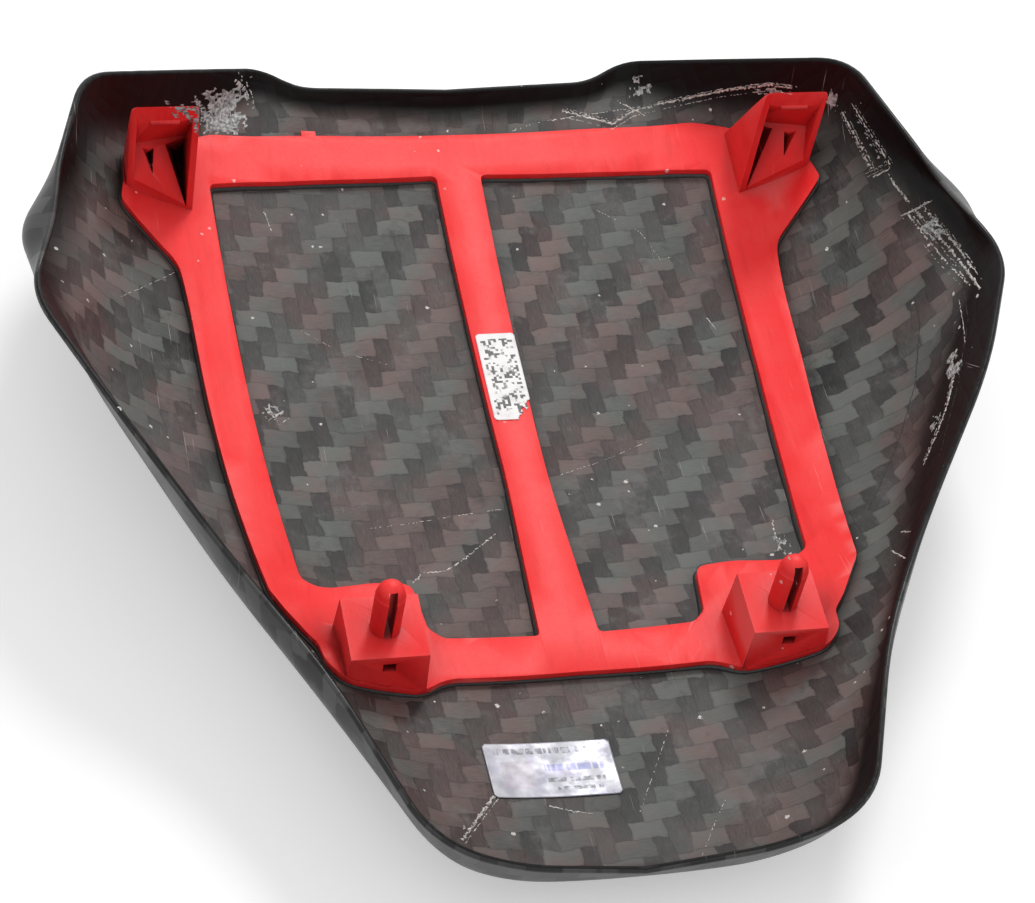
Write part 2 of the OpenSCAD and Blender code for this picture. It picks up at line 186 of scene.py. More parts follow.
def dishRings(s):
    # rings of the inner surface from near the hub out to the rim: floor, fillet, leaning wall
    rim = rimLine(s)
    hub = np.array(s["hub"])
    reachStep = s["halfStations"] // s["turnStations"]
    before, after = np.roll(rim, reachStep, 0), np.roll(rim, -reachStep, 0)
    out = unitRows(np.stack([before[:, 1] - after[:, 1], after[:, 0] - before[:, 0]], axis=-1))
    foot = rim[:, :2] - rim[:, 3:4] * out
    footPoint = onFloor(foot)
    rimPoint = rim[:, :3]
    out3 = np.concatenate([out, np.zeros((len(out), 1))], axis=1)
    reach = 1 - s["fillet"] / np.linalg.norm(foot - hub, axis=1)
    k = (np.arange(1, s["floorRings"] + 1) / s["floorRings"]) ** s["ringCrowding"]
    floor = onFloor(hub + (foot - hub)[None] * (reach[None] * k[:, None])[..., None])
    share = s["filletShare"]
    t = (np.arange(1, s["filletRings"] + 1) / s["filletRings"])[:, None, None]
    low, high = floor[-1][None], (footPoint + (rimPoint - footPoint) * share)[None]
    fillet = (1 - t) ** 2 * low + 2 * t * (1 - t) * footPoint[None] + t * t * high
    fillet = fillet + rim[None, :, 4:5] * np.sin(np.pi * share * t * t) * out3[None]
    v = share + (1 - share) * (np.arange(1, s["wallRings"] + 1) / s["wallRings"])[:, None, None]
    wall = footPoint[None] + (rimPoint - footPoint)[None] * v
    wall = wall + rim[None, :, 4:5] * np.sin(np.pi * v) * out3[None]
    inner = np.concatenate([floor, fillet, wall])
    climb = np.linspace(0, share, s["filletRings"] + 1)[1:]
    rise = np.concatenate([np.zeros(s["floorRings"]), climb, v[:, 0, 0]])
    return inner, out, rise


def surfaceNormals(inner, hubPoint):
    along = np.roll(inner, -1, 1) - np.roll(inner, 1, 1)
    across = np.empty_like(inner)
    across[1:-1] = inner[2:] - inner[:-2]
    across[0] = inner[1] - hubPoint
    across[-1] = inner[-1] - inner[-2]
    return unitRows(np.cross(along, across))


def turnOutwards(mesh):
    work = bmesh.new()
    work.from_mesh(mesh)
    bmesh.ops.recalc_face_normals(work, faces=work.faces)
    work.to_mesh(mesh)
    work.free()
    mesh.polygons.foreach_set("use_smooth", np.full(len(mesh.polygons), True))


def makeDish(s):
    inner, out, rise = dishRings(s)
    rings, stations = inner.shape[:2]
    hub = np.array(s["hub"])
    hubPoint = onFloor(hub)
    normal = surfaceNormals(inner, hubPoint)
    outer = inner - s["thickness"] * normal
    # rounded rim: half circle from the inner to the outer edge, with tiny nicks
    half = s["thickness"] / 2
    middle = (inner[-1] + outer[-1]) / 2
    upWall = unitRows(inner[-1] - inner[-2])
    angle = (np.arange(1, s["rollSteps"]) / s["rollSteps"] * np.pi)[:, None, None]
    nicked = softNoise(middle, 0.21, 8)[:, None] > 0.2
    nick = 1 + s["rimNick"] * softNoise(middle, 0.9, 5)[:, None] * nicked
    upward = s["rollHeight"] * np.sin(angle) * upWall[None] * nick[None]
    roll = middle[None] + half * (np.cos(angle) * normal[-1][None] + upward)
    # weave map: x and y on the floor, then the running length outwards up the wall
    pace = np.linalg.norm(np.diff(inner, axis=0), axis=2)
    step = np.r_[np.zeros((1, stations)), np.cumsum(pace, axis=0)]
    base = s["floorRings"] - 1
    climb = np.maximum(step - step[base], 0)[..., None]
    onBase = np.arange(rings)[:, None, None] <= base
    flatXy = np.where(onBase, inner[..., :2], inner[base][None, :, :2])
    uvInner = flatXy + climb * out[None]
    sheets = np.concatenate([inner, roll, outer[::-1]])
    uvRoll = np.repeat(uvInner[-1:], len(roll), 0)
    uv = np.concatenate([uvInner, uvRoll, uvInner[::-1]])
    riseAll = np.concatenate([rise, np.ones(len(roll)), rise[::-1]])[:, None]
    riseAll = riseAll.repeat(stations, 1)
    count = sheets.shape[0] * stations
    shift = np.array([0, s["shift"], 0])
    hubBelow = hubPoint - [0, 0, s["thickness"]]
    points = np.vstack([sheets.reshape(-1, 3), hubPoint, hubBelow]) + shift
    faces = gridFaces(sheets.shape[0], stations, closed=True)
    i = np.arange(stations)
    nextI = (i + 1) % stations
    fanIn = np.stack([np.full(stations, count), nextI, i], -1)
    lastRow = count - stations
    fanOut = np.stack([np.full(stations, count + 1), i + lastRow, nextI + lastRow], -1)
    fans = np.vstack([fanIn, fanOut])
    piece = makePiece("dishShell", points * mm, faces, triangles=fans)
    pointUv(piece, np.vstack([uv.reshape(-1, 2), [hub, hub]]) * mm)
    pointValue(piece, "rise", np.r_[riseAll.ravel(), 0, 0])
    # the outer skin is the second material
    sheetOfFace = np.arange(len(faces)) // stations
    skin = (sheetOfFace >= rings + 1).astype(np.int32)
    skin = np.r_[skin, np.zeros(stations, np.int32), np.ones(stations, np.int32)]
    return piece, skin


dishShell, dishSkin = makeDish(dishShape)
turnOutwards(dishShell.data)
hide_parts("laminate_dish")
print("dish made", len(dishShell.data.polygons))


# bracket frame: a merged copy of the CAD moulding with softened edges
frameLook = {"merge": 0.00002, "flatDegrees": 0.6, "edgeRadius": 0.00035, "segments": 2,
             "limitDegrees": 32}


def makeBracket(s):
    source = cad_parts["bracket_frame"]
    mesh = source.data.copy()
    mesh.name = "bracketMoulding"
    work = bmesh.new()
    work.from_mesh(mesh)
    work.transform(source.matrix_world)
    bmesh.ops.remove_doubles(work, verts=work.verts, dist=s["merge"])
    flat = np.radians(s["flatDegrees"])
    bmesh.ops.dissolve_limit(work, angle_limit=flat, verts=work.verts, edges=work.edges)
    work.to_mesh(mesh)
    work.free()
    piece = bpy.data.objects.new("bracketMoulding", mesh)
    scene.collection.objects.link(piece)
    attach(piece, "root")
    mesh.polygons.foreach_set("use_smooth", np.full(len(mesh.polygons), True))
    bevel = piece.modifiers.new("softEdges", "BEVEL")
    bevel.width = s["edgeRadius"]
    bevel.segments = s["segments"]
    bevel.limit_method = "ANGLE"
    bevel.angle_limit = np.radians(s["limitDegrees"])
    bevel.harden_normals = True
    bevel.miter_outer = "MITER_ARC"
    return piece


bracketMoulding = makeBracket(frameLook)
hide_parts("bracket_frame")
print("bracket made", len(bracketMoulding.data.polygons))


# casting photograph pixels onto the object
def treeOf(pieces):
    verts, polys = [], []
    for piece in pieces:
        start = len(verts)
        verts += [v.co.copy() for v in piece.data.vertices]
        polys += [[start + k for k in p.vertices] for p in piece.data.polygons]
    return BVHTree.FromPolygons(verts, polys)


wearTree = treeOf([dishShell, bracketMoulding])
eye = Vector(photoCamera["position"]) * mm
sight = [Vector(photoCamera[k]) for k in ("right", "up", "forward")]


def castPixel(x, y):
    f = photoCamera["focalPixels"]
    across, above = x - photoCamera["frame"][0] / 2, photoCamera["frame"][1] / 2 - y
    way = (sight[0] * across + sight[1] * above + sight[2] * f).normalized()
    return wearTree.ray_cast(eye, way)[:2]


def castMany(pixels):
    hits = [castPixel(*p) for p in pixels]
    hits = [h for h in hits if h[0] is not None]
    facing = [n if n.dot(eye - p) > 0 else -n for p, n in hits]
    return np.array([h[0] for h in hits]), np.array(facing)


def evenPixels(path, spacing):
    path = np.array(path, dtype=float)
    run = np.r_[0, np.cumsum(np.linalg.norm(np.diff(path, axis=0), axis=1))]
    t = np.arange(0, run[-1], spacing)
    return np.stack([np.interp(t, run, path[:, 0]), np.interp(t, run, path[:, 1])], axis=-1)


# scratches and scuffs: thin raised strips that lie on the surface under each pixel path
scuffPaths = {
    "spacing": 1.6,
    "lift": 0.03,
    "crown": 0.05,
    "body": 0.05,
    "companions": 3,
    "broadFrom": 0.7,
    "spread": 4.0,
    # path in pixels, width in mm, share of the length that shows
    "lines": [
        ([(562, 111), (598, 120), (612, 124), (633, 111), (656, 105), (694, 97), (723, 91),
          (770, 85), (793, 89)], 0.9, 0.95),
        ([(617, 101), (646, 116)], 0.5, 0.9),
        ([(512, 131), (540, 122), (572, 117), (600, 113), (640, 107)], 0.5, 0.5),
        ([(235, 80), (243, 88), (247, 99)], 1.6, 0.9),
        ([(842, 112), (852, 131), (862, 150), (872, 170)], 0.9, 0.8),
        ([(854, 108), (872, 136), (892, 167)], 0.7, 0.8),
        ([(873, 177), (891, 168)], 0.7, 1.0),
        ([(901, 216), (916, 209), (930, 201)], 0.8, 1.0),
        ([(889, 177), (899, 190), (909, 203)], 0.8, 0.8),
        ([(916, 211), (932, 229), (948, 247), (962, 264), (980, 289)], 1.3, 0.75),
        ([(922, 205), (940, 226), (957, 246), (972, 268)], 0.8, 0.6),
        ([(908, 214), (928, 240), (946, 262), (968, 284)], 0.7, 0.55),
        ([(959, 300), (963, 322), (965, 343)], 0.5, 0.8),
        ([(957, 349), (950, 366), (953, 379), (948, 402), (942, 420), (936, 435),
          (924, 463)], 1.6, 0.7),
        ([(901, 532), (911, 532)], 0.6, 1.0),
        ([(891, 551), (906, 558)], 0.6, 1.0),
        ([(413, 583), (423, 573), (446, 571), (464, 559), (497, 533)], 0.6, 0.75),
        ([(365, 529), (410, 524), (455, 516), (504, 509)], 0.4, 0.45),
        ([(494, 796), (478, 818), (460, 842)], 1.0, 0.9),
        ([(549, 806), (572, 811), (595, 814)], 0.5, 0.8),
        ([(640, 812), (655, 770), (668, 730)], 0.3, 0.5),
        ([(700, 862), (712, 830), (726, 798)], 0.35, 0.5),
        ([(118, 298), (150, 284), (176, 272)], 0.35, 0.5),
        ([(268, 404), (274, 418), (284, 411)], 0.8, 0.9),
        ([(264, 212), (272, 232)], 0.5, 0.9),
        ([(772, 520), (778, 545), (790, 560)], 0.6, 0.7),
        ([(707, 318), (716, 330)], 0.5, 1.0),
        ([(560, 475), (600, 462), (652, 440)], 0.3, 0.45),
        ([(300, 330), (340, 352), (392, 366)], 0.3, 0.4),
        ([(596, 210), (640, 232), (662, 262)], 0.3, 0.4),
    ],
}


def makeScuffs(name, s, seed):
    # each strip is a ridge of three points across: two edges and a low crown between them
    allPoints, allFaces, total = [], [], 0
    dice = np.random.default_rng(seed)
    strips = list(s["lines"])
    for path, width, shown in s["lines"]:
        if width >= s["broadFrom"]:
            for _ in range(s["companions"]):
                moved = np.array(path, dtype=float) + dice.normal(0, s["spread"], 2)
                strips.append((moved.tolist(), width * 0.35, shown * 0.6))
    for path, width, shown in strips:
        place, normal = castMany(evenPixels(path, s["spacing"]))
        if len(place) < 3:
            continue
        count = len(place)
        ahead = unitRows(np.gradient(place, axis=0))
        side = unitRows(np.cross(ahead, normal))
        wobble = dice.normal(0, 0.22, (count, 1)) * mm * min(width, 0.8)
        broad = width * mm * (0.35 + 0.65 * dice.random((count, 1))) / 2
        level = place + normal * s["lift"] * mm + side * wobble
        crown = level + normal * s["crown"] * mm
        ridge = np.stack([level - side * broad, crown, level + side * broad], axis=1)
        allPoints.append(ridge.reshape(-1, 3))
        faces = gridFaces(count, 3)
        keep = np.repeat(dice.random(count - 1) < shown, 2)
        allFaces.append(faces[keep] + total)
        total += count * 3
    piece = makePiece(name, np.vstack(allPoints), np.vstack(allFaces))
    thick = piece.modifiers.new("thickness", "SOLIDIFY")
    thick.thickness = s["body"] * mm
    return piece


surfaceScuffs = makeScuffs("surfaceScuffs", scuffPaths, 11)

# faint dark lines where a ply ends and where the floor turns into the wall
plyPaths = {
    "spacing": 3.0,
    "lift": 0.02,
    "crown": 0.03,
    "body": 0.05,
    "companions": 0,
    "broadFrom": 0.7,
    "lines": [
        ([(916, 300), (920, 325), (915, 384), (901, 435), (883, 479), (868, 512)], 0.5, 0.98),
        ([(905, 205), (938, 240), (962, 275), (968, 320), (958, 384), (939, 458)], 0.4, 0.7),
    ],
}
plyLines = makeScuffs("plyLines", plyPaths, 4)


# glue residue: crusty films inside four-cornered patches of the photograph
residuePatches = {
    "thickness": 0.16,
    "jump": 3.0,
    # four corners in pixels, threshold of the film (higher is more broken), grain size
    "patches": [
        ([(147, 96), (252, 92), (250, 130), (196, 133)], -0.05, 1.5),
        ([(200, 92), (252, 76), (256, 134), (202, 136)], -0.40, 1.2),
        ([(625, 71), (654, 69), (654, 97), (627, 99)], 0.1, 1.6),
        ([(828, 86), (841, 92), (836, 113), (824, 108)], -0.1, 1.4),
        ([(740, 88), (800, 84), (806, 92), (744, 98)], 0.4, 1.8),
        ([(944, 350), (966, 350), (962, 380), (944, 384)], 0.1, 1.3),
        ([(930, 408), (950, 400), (940, 436), (926, 436)], 0.35, 1.3),
        ([(896, 202), (926, 202), (990, 282), (966, 290)], 0.25, 2.4),
        ([(846, 112), (862, 110), (902, 170), (882, 176)], 0.42, 2.4),
        ([(258, 402), (286, 398), (284, 424), (262, 424)], 0.35, 1.5),
        ([(766, 515), (792, 520), (796, 560), (774, 558)], 0.5, 1.5),
        ([(448, 826), (470, 818), (466, 846), (452, 848)], 0.3, 1.5),
    ],
}


def makeResidue(s):
    allPoints, allFaces, total = [], [], 0
    for number, (corners, gate, grain) in enumerate(s["patches"]):
        c = np.array(corners, dtype=float)
        size = max(np.linalg.norm(c[1] - c[0]), np.linalg.norm(c[3] - c[0]))
        n = int(np.clip(size / 1.1, 14, 70))
        u, v = np.meshgrid(np.linspace(0, 1, n), np.linspace(0, 1, n))
        shares = np.stack([(1 - u) * (1 - v), u * (1 - v), u * v, (1 - u) * v], axis=-1)
        pixels = shares[..., :1] * c[0] + shares[..., 1:2] * c[1] \
            + shares[..., 2:3] * c[2] + shares[..., 3:] * c[3]
        place, normal = castMany(pixels.reshape(-1, 2))
        if len(place) < n * n:
            continue
        crust = softNoise(place / mm, grain, number) * 0.6 \
            + softNoise(place / mm, grain * 2.7, number + 30) * 0.5
        rim = 1 - np.maximum(np.abs(2 * u - 1), np.abs(2 * v - 1)).ravel() ** 3
        blot = softNoise(place / mm, 0.32, number + 60)
        film = crust * 0.8 + rim * 0.9 - 0.7 + blot * 0.45 - gate
        lift = 0.02 + s["thickness"] * np.clip(film, 0, 1)
        lifted = place + normal * lift[:, None] * mm
        faces = gridFaces(n, n)
        keep = film[faces].min(1) > 0
        # a face that jumps from one surface to another is left out
        diagonal = np.linalg.norm(place[faces[:, 0]] - place[faces[:, 2]], axis=1)
        allPoints.append(lifted)
        allFaces.append(faces[keep & (diagonal < s["jump"] * mm)] + total)
        total += n * n
    return makePiece("glueResidue", np.vstack(allPoints), np.vstack(allFaces))


glueResidue = makeResidue(residuePatches)
print("wear made")


# black bead along the outer edges of the frame: partly the adhesive bond line, partly painted
# shadow along the bar edges
beadShape = {
    "width": 1.5,
    "height": 0.9,
    "sunk": 0.05,
    "spacing": 1.1,
    "profilePoints": 7,
    "outer": [
        (0, 105.5, 0), (45, 105.2, 10), (75, 101.7, 4), (84.3, 96.4, 1.5), (102.5, 84.3, 1.5),
        (103.1, 75, 1), (104.7, 66.5, 1.5), (89.4, 51.5, 4), (88, 37, 8), (87, 5, 12),
        (84.5, -30, 10), (82.1, -54, 4), (80.3, -70.5, 2), (73.2, -83, 2), (69.8, -87.3, 1.5),
        (69, -94, 2.5), (65.2, -98.9, 3),
        (43.2, -98.9, 3), (36.4, -94.4, 4), (0, -93.6, 0),
    ],
    "window": [
        (6.8, 90.5, 2), (44, 88.9, 8), (67, 86.1, 5), (76.8, 83.5, 2), (75.8, 42, 8),
        (74.6, 5, 10), (72.6, -30, 8), (70.2, -61.3, 2), (66.2, -63.6, 1.6), (62.8, -63.5, 1.6),
        (50, -60.3, 4), (39.7, -60.7, 3), (38, -76.7, 1.5), (34.4, -80.2, 1.2),
        (8.1, -80.5, 1.6), (5.9, -25, 10),
    ],
}


def closedOutline(rows, spacing):
    rows = np.array(rows, dtype=float)
    parts = []
    for i in range(len(rows)):
        a, b, c = rows[i - 1, :2], rows[i, :2], rows[(i + 1) % len(rows), :2]
        parts.append(roundCorner(a, b, c, rows[i, 2], 6) if rows[i, 2] > 0 else b[None])
    path = np.vstack(parts + [parts[0][:1]])
    run = np.r_[0, np.cumsum(np.linalg.norm(np.diff(path, axis=0), axis=1))]
    t = np.linspace(0, run[-1], int(run[-1] / spacing), endpoint=False)
    return np.stack([np.interp(t, run, path[:, 0]), np.interp(t, run, path[:, 1])], axis=-1)


def makeBead(s):
    # half-round profile carried along each outline, centred on the foot of the bar edge
    allPoints, allFaces, total = [], [], 0
    outer = s["outer"] + [(-x, y, c) for x, y, c in s["outer"][1:-1]][::-1]
    left = [(-x, y, c) for x, y, c in s["window"]]
    for number, rows in enumerate((outer, s["window"], left)):
        line = closedOutline(rows, s["spacing"])
        ahead = unitRows(np.roll(line, -1, 0) - np.roll(line, 1, 0))
        side = np.stack([ahead[:, 1], -ahead[:, 0]], axis=-1)
        place = onFloor(line)
        swell = 1 + 0.28 * softNoise(place, 0.35, number + 2)
        angle = np.linspace(0, np.pi, s["profilePoints"])
        across = np.cos(angle)[:, None] * (s["width"] / 2 * swell)[None]
        above = np.sin(angle)[:, None] * (s["height"] * swell)[None]
        xy = line[None] + side[None] * across[..., None]
        z = floorZ(xy[..., 0], xy[..., 1]) + above - s["sunk"]
        allPoints.append(np.concatenate([xy, z[..., None]], -1).reshape(-1, 3))
        allFaces.append(gridFaces(s["profilePoints"], len(line), closed=True) + total)
        total += s["profilePoints"] * len(line)
    points = np.vstack(allPoints) + [0, dishShape["shift"], 0]
    return makePiece("bondLineAndShadowBead", points * mm, np.vstack(allFaces))


bondLineAndShadowBead = makeBead(beadShape)
print("bead made")


# stickers: thin sheets on the bar and on the dish floor
# tear: which corner, then how far it runs along x and y; 0 leaves the corner whole
codeSticker = {"centre": (0.6, 14.0), "size": (11.6, 32.5), "base": 2.82, "thickness": 0.16,
               "corner": 0.9, "cells": (44, 122), "tear": (1, -1, 4.6, 7.0)}
dataSticker = {"centre": (-14.0, -124.0), "size": (34.0, 18.0), "base": 0.17, "thickness": 0.16,
               "corner": 0.8, "cells": (96, 52), "tear": (-1, 1, 0, 0)}


def makeSticker(name, s, seed):
    # rectangle with rounded corners bent over the floor; one corner may be torn off
    halfX, halfY = s["size"][0] / 2, s["size"][1] / 2
    nx, ny = s["cells"]
    u, v = np.meshgrid(np.linspace(-1, 1, nx), np.linspace(-1, 1, ny))
    # squeeze the grid into a rounded rectangle
    r = s["corner"]
    x, y = u * halfX, v * halfY
    overX, overY = np.abs(x) - (halfX - r), np.abs(y) - (halfY - r)
    reach = np.hypot(np.maximum(overX, 0), np.maximum(overY, 0))
    inside = reach <= r * 1.02
    signX, signY, cutX, cutY = s["tear"]
    ragged = 1 + 0.16 * softNoise(np.stack([x, y, x * 0], -1), 2.2, seed)
    inX, inY = (halfX - signX * x) / max(cutX, 1e-3), (halfY - signY * y) / max(cutY, 1e-3)
    torn = inX + inY < ragged
    keep = inside & ~(torn & (cutX > 0))
    cx, cy = s["centre"]
    wave = 0.05 * softNoise(np.stack([x, y, x * 0], -1), 0.5, seed + 1)
    lift = s["base"] + s["thickness"] + np.clip(wave, 0, 0.05)
    height = floorZ(x + cx, y + cy) + lift
    points = np.stack([x + cx, y + cy + dishShape["shift"], height], -1).reshape(-1, 3)
    faces = gridFaces(ny, nx)
    flags = keep.ravel()[faces].all(1)
    piece = makePiece(name, points * mm, faces[flags])
    work = bmesh.new()
    work.from_mesh(piece.data)
    loose = [p for p in work.verts if not p.link_faces]
    bmesh.ops.delete(work, geom=loose, context="VERTS")
    work.to_mesh(piece.data)
    work.free()
    thick = piece.modifiers.new("thickness", "SOLIDIFY")
    thick.thickness = s["thickness"] * mm
    thick.offset = -1
    return piece


codePatch = makeSticker("codePatch", codeSticker, 3)
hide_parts("code_label")
dataPatch = makeSticker("dataPatch", dataSticker, 6)
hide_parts("data_label")
print("stickers made")


# node helpers
class nodeDesk:
    # short way to place and link shader nodes in one tree
    def __init__(self, tree):
        self.tree = tree
        self.count = 0

    def put(self, kind, **settings):
        node = self.tree.nodes.new(kind)
        node.location = (180 * (self.count % 12), -220 * (self.count // 12))
        self.count += 1
        for key, value in settings.items():
            setattr(node, key, value)
        return node

    def wire(self, source, target):
        self.tree.links.new(source, target)

    def feed(self, socket, value):
        if hasattr(value, "is_output"):
            self.wire(value, socket)
        else:
            socket.default_value = value

    def sum(self, operation, a, b=None, c=None):
        node = self.put("ShaderNodeMath", operation=operation)
        for socket, value in zip(node.inputs, (a, b, c)):
            if value is not None:
                self.feed(socket, value)
        return node.outputs[0]

    def blendColor(self, factor, a, b, mode="MIX"):
        node = self.put("ShaderNodeMix", data_type="RGBA", blend_type=mode)
        self.feed(node.inputs[0], factor)
        self.feed(node.inputs[6], a)
        self.feed(node.inputs[7], b)
        return node.outputs[2]

    def choose(self, factor, a, b):
        # a where the factor is 0, b where it is 1
        node = self.put("ShaderNodeMix", data_type="FLOAT")
        for k, value in ((0, factor), (2, a), (3, b)):
            self.feed(node.inputs[k], value)
        return node.outputs[0]

    def between(self, value, low, high, outLow=0.0, outHigh=1.0):
        node = self.put("ShaderNodeMapRange", clamp=True, interpolation_type="SMOOTHSTEP")
        for k, item in enumerate((value, low, high, outLow, outHigh)):
            self.feed(node.inputs[k], item)
        return node.outputs[0]

    def arch(self, value, power):
        # 1 in the middle of 0 to 1, falling to 0 at both ends; a higher power is flatter
        fromMiddle = self.sum("ABSOLUTE", self.sum("MULTIPLY_ADD", value, 2.0, -1.0))
        return self.sum("SUBTRACT", 1.0, self.sum("POWER", fromMiddle, power))

    def noise(self, vector, scale, detail=3.0, rough=0.55, stretch=None, turn=0.0):
        if stretch is not None or turn:
            place = self.put("ShaderNodeMapping")
            place.inputs["Scale"].default_value = stretch or (1, 1, 1)
            place.inputs["Rotation"].default_value = (0, 0, turn)
            self.wire(vector, place.inputs["Vector"])
            vector = place.outputs[0]
        node = self.put("ShaderNodeTexNoise")
        node.inputs["Scale"].default_value = scale
        node.inputs["Detail"].default_value = detail
        node.inputs["Roughness"].default_value = rough
        self.wire(vector, node.inputs["Vector"])
        return node.outputs["Fac"]


def newGroup(name, inputs, outputs):
    group = bpy.data.node_groups.new(name, "ShaderNodeTree")
    for label, kind, value in inputs:
        socket = group.interface.new_socket(name=label, in_out="INPUT", socket_type=kind)
        if value is not None:
            socket.default_value = value
    for label, kind in outputs:
        group.interface.new_socket(name=label, in_out="OUTPUT", socket_type=kind)
    desk = nodeDesk(group)
    return group, desk, desk.put("NodeGroupInput"), desk.put("NodeGroupOutput")


def buildTwillWeave():
    # two over, two under: column i and row j, and i - j decides which tow is on top
    group, d, into, out = newGroup("twillWeave", [
        ("Vector", "NodeSocketVector", None), ("Across", "NodeSocketFloat", 0.0048),
        ("Along", "NodeSocketFloat", 0.0055), ("Turn", "NodeSocketFloat", 0.05)],
        [("Shade", "NodeSocketFloat"), ("Height", "NodeSocketFloat"),
         ("Gap", "NodeSocketFloat"), ("Fibre", "NodeSocketFloat")])
    rotate = d.put("ShaderNodeVectorRotate", rotation_type="Z_AXIS")
    d.wire(into.outputs["Vector"], rotate.inputs["Vector"])
    d.wire(into.outputs["Turn"], rotate.inputs["Angle"])
    wander = d.put("ShaderNodeTexNoise")
    wander.inputs["Scale"].default_value = 95.0
    wander.inputs["Detail"].default_value = 4.0
    wander.inputs["Roughness"].default_value = 0.6
    d.wire(rotate.outputs[0], wander.inputs["Vector"])
    split = d.put("ShaderNodeSeparateXYZ")
    d.wire(rotate.outputs[0], split.inputs[0])
    drift = d.put("ShaderNodeSeparateXYZ")
    d.wire(wander.outputs["Color"], drift.inputs[0])
    tow = []
    for k, label in enumerate(("Across", "Along")):
        straight = d.sum("DIVIDE", split.outputs[k], into.outputs[label])
        stray = d.sum("MULTIPLY", d.sum("SUBTRACT", drift.outputs[k], 0.5), 0.9)
        tow.append(d.sum("ADD", straight, stray))
    a, b = tow
    i, j = d.sum("FLOOR", a), d.sum("FLOOR", b)
    fx, fy = d.sum("FRACT", a), d.sum("FRACT", b)
    m = d.sum("FLOORED_MODULO", d.sum("SUBTRACT", i, j), 4.0)
    column = d.sum("LESS_THAN", m, 1.5)
    # place along the float, 0 to 1
    sColumn = d.sum("MULTIPLY", d.sum("ADD", d.sum("SUBTRACT", 1.0, m), fy), 0.5)
    sRow = d.sum("MULTIPLY", d.sum("ADD", d.sum("SUBTRACT", m, 2.0), fx), 0.5)
    s = d.choose(column, sRow, sColumn)
    t = d.choose(column, fy, fx)
    crossArch, longArch = d.arch(t, 2.6), d.arch(s, 3.2)
    height = d.sum("MULTIPLY", crossArch, longArch)
    gap = d.sum("SUBTRACT", 1.0, d.between(d.sum("MINIMUM", crossArch, longArch), 0.0, 0.34))
    # one random number for each float
    quarter = d.sum("FLOOR", d.sum("MULTIPLY", d.sum("SUBTRACT", i, j), 0.25))
    join = d.put("ShaderNodeCombineXYZ")
    d.wire(d.choose(column, j, i), join.inputs[0])
    d.wire(quarter, join.inputs[1])
    d.wire(column, join.inputs[2])
    white = d.put("ShaderNodeTexWhiteNoise")
    d.wire(join.outputs[0], white.inputs["Vector"])
    chance = white.outputs["Value"]
    # fibres run along the tow on top
    fineX = d.noise(rotate.outputs[0], 1.0, 3.0, 0.7, stretch=(5200, 260, 1))
    fineY = d.noise(rotate.outputs[0], 1.0, 3.0, 0.7, stretch=(260, 5200, 1))
    fibre = d.choose(column, fineY, fineX)
    # rows catch the light, columns stay darker; each float falls off towards one end
    base = d.sum("MULTIPLY_ADD", column, -0.40, 0.70)
    fall = d.sum("MULTIPLY", d.sum("SUBTRACT", s, 0.5), -0.16)
    luck = d.sum("MULTIPLY", d.sum("SUBTRACT", chance, 0.5), 0.34)
    shade = d.sum("ADD", d.sum("ADD", base, fall), luck)
    for label, value in (("Shade", shade), ("Height", height), ("Gap", gap), ("Fibre", fibre)):
        d.wire(value, out.inputs[label])
    return group


def buildDustScuff():
    # clouds of dust, small bright specks and fine straight scratches in two directions
    group, d, into, out = newGroup("dustScuff", [
        ("Vector", "NodeSocketVector", None), ("Amount", "NodeSocketFloat", 0.5),
        ("Speck", "NodeSocketFloat", 0.5)],
        [("Cloud", "NodeSocketFloat"), ("Specks", "NodeSocketFloat"),
         ("Scratches", "NodeSocketFloat")])
    vector = into.outputs["Vector"]
    cloud = d.between(d.noise(vector, 26.0, 5.0, 0.62), 0.38, 0.72)
    d.wire(d.sum("MULTIPLY", cloud, into.outputs["Amount"]), out.inputs["Cloud"])
    dots = d.put("ShaderNodeTexVoronoi")
    dots.inputs["Scale"].default_value = 420.0
    d.wire(vector, dots.inputs["Vector"])
    chooser = d.put("ShaderNodeSeparateColor")
    d.wire(dots.outputs["Color"], chooser.inputs[0])
    wide = d.sum("MULTIPLY_ADD", chooser.outputs[1], 0.22, 0.05)
    fray = d.sum("SUBTRACT", d.noise(vector, 1900.0, 2.0, 0.6), 0.5)
    ragged = d.sum("ADD", dots.outputs["Distance"], d.sum("MULTIPLY", fray, 0.5))
    small = d.sum("LESS_THAN", ragged, wide)
    limit = d.sum("SUBTRACT", 1.0, d.sum("MULTIPLY", into.outputs["Speck"], 0.05))
    rare = d.sum("GREATER_THAN", chooser.outputs[0], limit)
    d.wire(d.sum("MULTIPLY", small, rare), out.inputs["Specks"])
    one = d.noise(vector, 1.0, 2.0, 0.5, stretch=(2600, 42, 30), turn=0.5)
    two = d.noise(vector, 1.0, 2.0, 0.5, stretch=(2400, 50, 30), turn=-0.75)
    one, two = d.between(one, 0.71, 0.78), d.between(two, 0.72, 0.79)
    patch = d.between(d.noise(vector, 38.0, 2.0, 0.5), 0.5, 0.62)
    d.wire(d.sum("MULTIPLY", d.sum("MAXIMUM", one, two), patch), out.inputs["Scratches"])
    return group


